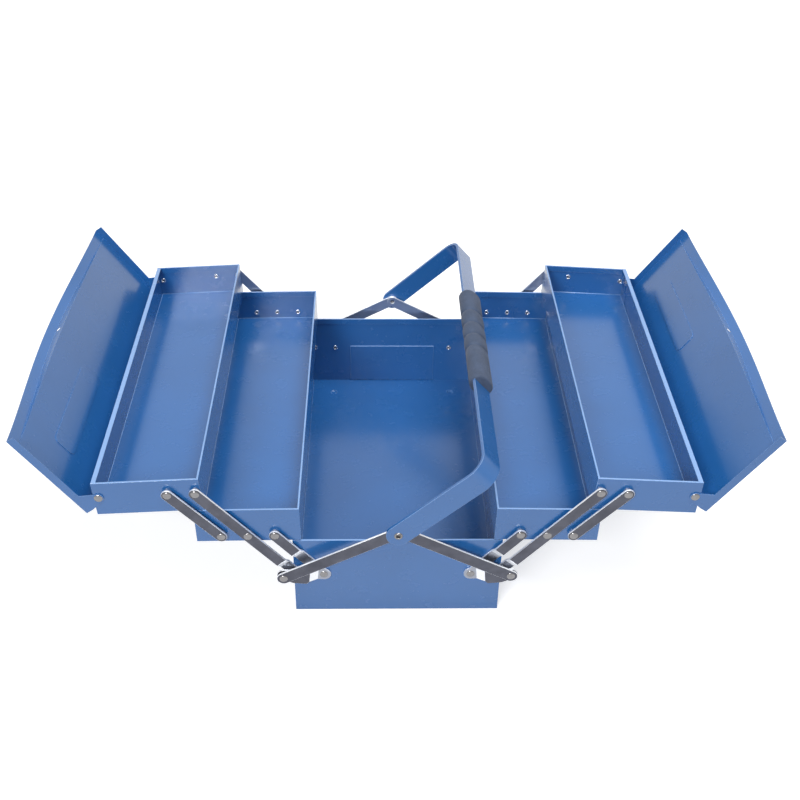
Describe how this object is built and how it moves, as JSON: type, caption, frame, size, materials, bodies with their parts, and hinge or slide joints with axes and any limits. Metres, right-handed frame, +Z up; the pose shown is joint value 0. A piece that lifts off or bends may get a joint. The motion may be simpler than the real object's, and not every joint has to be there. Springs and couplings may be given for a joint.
{
  "type": "cantilever tool box",
  "caption": "Steel tool box whose trays fold out to both sides on pivoted links, with hinged lids and a swinging carrying handle with a ribbed grip.",
  "frame": {"origin": "on the ground under the middle of the base", "axes": "+Z up; +X to the right across the trays, the side that the handle leans to; +Y along the trays towards the rear end wall"},
  "size_m": [0.7174, 0.4324, 0.2171],
  "materials": {
    "base_paint": "gloss",
    "tray_paint": "gloss",
    "lid_paint": "gloss",
    "handle_paint": "gloss",
    "link_zinc": "zinc plated",
    "rivet_steel": "bright",
    "bush_zinc": "zinc plated",
    "grip_foam": "matt foam"
  },
  "bodies": {
    "base": {"base_end_panel_front": "base_paint", "base_end_panel_rear": "base_paint", "base_pan": "base_paint", "base_pivot_rivets_front": "rivet_steel", "base_pivot_rivets_rear": "rivet_steel"},
    "handle": {"handle_frame": "handle_paint", "handle_grip": "grip_foam"},
    "left_handle_bars": {"handle_rivets": "rivet_steel", "left_handle_bar_front": "link_zinc", "left_handle_bar_rear": "link_zinc"},
    "left_crank": {"left_bar_bushes": "bush_zinc", "left_bar_rivets": "rivet_steel", "left_crank_front": "link_zinc", "left_crank_rear": "link_zinc"},
    "left_lid": {"left_lid": "lid_paint", "left_lid_lip": "lid_paint"},
    "left_upper_tray": {"left_lid_hinge_rivets": "rivet_steel", "left_upper_tray_bushes": "bush_zinc", "left_upper_tray_end_panel_front": "tray_paint", "left_upper_tray_end_panel_rear": "tray_paint", "left_upper_tray_pan": "tray_paint", "left_upper_tray_rivets": "rivet_steel"},
    "left_long_links": {"left_long_link_front": "link_zinc", "left_long_link_rear": "link_zinc"},
    "left_lower_tray": {"left_lower_tray_bushes": "bush_zinc", "left_lower_tray_end_panel_front": "tray_paint", "left_lower_tray_end_panel_rear": "tray_paint", "left_lower_tray_pan": "tray_paint", "left_lower_tray_rivets": "rivet_steel"},
    "left_short_links": {"left_short_link_front": "link_zinc", "left_short_link_rear": "link_zinc"},
    "right_crank": {"right_bar_rivets": "rivet_steel", "right_crank_front": "link_zinc", "right_crank_rear": "link_zinc"},
    "right_handle_bars": {"right_handle_bar_front": "link_zinc", "right_handle_bar_rear": "link_zinc"},
    "right_lid": {"right_lid": "lid_paint", "right_lid_lip": "lid_paint"},
    "right_upper_tray": {"right_lid_hinge_rivets": "rivet_steel", "right_upper_tray_bushes": "bush_zinc", "right_upper_tray_end_panel_front": "tray_paint", "right_upper_tray_end_panel_rear": "tray_paint", "right_upper_tray_pan": "tray_paint", "right_upper_tray_rivets": "rivet_steel"},
    "right_long_links": {"right_long_link_front": "link_zinc", "right_long_link_rear": "link_zinc"},
    "right_lower_tray": {"right_lower_tray_bushes": "bush_zinc", "right_lower_tray_end_panel_front": "tray_paint", "right_lower_tray_end_panel_rear": "tray_paint", "right_lower_tray_pan": "tray_paint", "right_lower_tray_rivets": "rivet_steel"},
    "right_short_links": {"right_short_link_front": "link_zinc", "right_short_link_rear": "link_zinc"}
  },
  "joints": [
    {"name": "fold", "type": "hinge", "parent": "base", "child": "left_crank", "pos_m": [-0.071, 0, 0.0512], "axis": [0, 1, 0], "range_deg": [0, 81.95]},
    {"name": "right_crank_turn", "type": "hinge", "parent": "base", "child": "right_crank", "pos_m": [0.071, 0, 0.0512], "axis": [0, -1, 0], "range_deg": [0, 81.95]},
    {"name": "left_long_link_turn", "type": "hinge", "parent": "base", "child": "left_long_links", "pos_m": [-0.096, 0, 0.0512], "axis": [0, 1, 0], "range_deg": [0, 82.19]},
    {"name": "left_lower_tray_level", "type": "hinge", "parent": "left_long_links", "child": "left_lower_tray", "pos_m": [-0.141, 0, 0.1028], "axis": [0, -1, 0], "range_deg": [0, 81.24]},
    {"name": "left_short_link_turn", "type": "hinge", "parent": "left_lower_tray", "child": "left_short_links", "pos_m": [-0.166, 0, 0.10239], "axis": [0, 1, 0], "range_deg": [0, 81.75]},
    {"name": "left_upper_tray_level", "type": "hinge", "parent": "left_long_links", "child": "left_upper_tray", "pos_m": [-0.186, 0, 0.1544], "axis": [0, -1, 0], "range_deg": [0, 79.09]},
    {"name": "left_handle_bar_turn", "type": "hinge", "parent": "left_crank", "child": "left_handle_bars", "pos_m": [-0.1093, 0, 0.0546], "axis": [0, -1, 0], "range_deg": [0, 107.9]},
    {"name": "left_lid_turn", "type": "hinge", "parent": "left_upper_tray", "child": "left_lid", "pos_m": [-0.27513, 0, 0.14697], "axis": [0, 1, 0], "range_deg": [0, 122]},
    {"name": "right_long_link_turn", "type": "hinge", "parent": "base", "child": "right_long_links", "pos_m": [0.096, 0, 0.0512], "axis": [0, -1, 0], "range_deg": [0, 82.19]},
    {"name": "right_lower_tray_level", "type": "hinge", "parent": "right_long_links", "child": "right_lower_tray", "pos_m": [0.141, 0, 0.1028], "axis": [0, 1, 0], "range_deg": [0, 81.24]},
    {"name": "right_short_link_turn", "type": "hinge", "parent": "right_lower_tray", "child": "right_short_links", "pos_m": [0.166, 0, 0.10239], "axis": [0, -1, 0], "range_deg": [0, 81.75]},
    {"name": "right_upper_tray_level", "type": "hinge", "parent": "right_long_links", "child": "right_upper_tray", "pos_m": [0.186, 0, 0.1544], "axis": [0, 1, 0], "range_deg": [0, 79.09]},
    {"name": "right_handle_bar_turn", "type": "hinge", "parent": "right_crank", "child": "right_handle_bars", "pos_m": [0.1093, 0, 0.0546], "axis": [0, 1, 0], "range_deg": [0, 107.9]},
    {"name": "right_lid_turn", "type": "hinge", "parent": "right_upper_tray", "child": "right_lid", "pos_m": [0.27513, 0, 0.14697], "axis": [0, -1, 0], "range_deg": [0, 122]},
    {"name": "handle_swing", "type": "hinge", "parent": "left_handle_bars", "child": "handle", "pos_m": [0, 0, 0.1124], "axis": [0, -1, 0], "range_deg": [0, 96]}
  ],
  "couplings": [
    {"joint": "right_crank_turn", "follows": "fold", "ratio": 1},
    {"joint": "left_long_link_turn", "follows": "fold", "ratio": 1.0028},
    {"joint": "left_lower_tray_level", "follows": "fold", "ratio": 0.99118},
    {"joint": "left_short_link_turn", "follows": "fold", "ratio": 0.99745},
    {"joint": "left_upper_tray_level", "follows": "fold", "ratio": 0.96495},
    {"joint": "left_handle_bar_turn", "follows": "fold", "ratio": 1.3166},
    {"joint": "right_long_link_turn", "follows": "fold", "ratio": 1.0028},
    {"joint": "right_lower_tray_level", "follows": "fold", "ratio": 0.99118},
    {"joint": "right_short_link_turn", "follows": "fold", "ratio": 0.99745},
    {"joint": "right_upper_tray_level", "follows": "fold", "ratio": 0.96495},
    {"joint": "right_handle_bar_turn", "follows": "fold", "ratio": 1.3166}
  ]
}
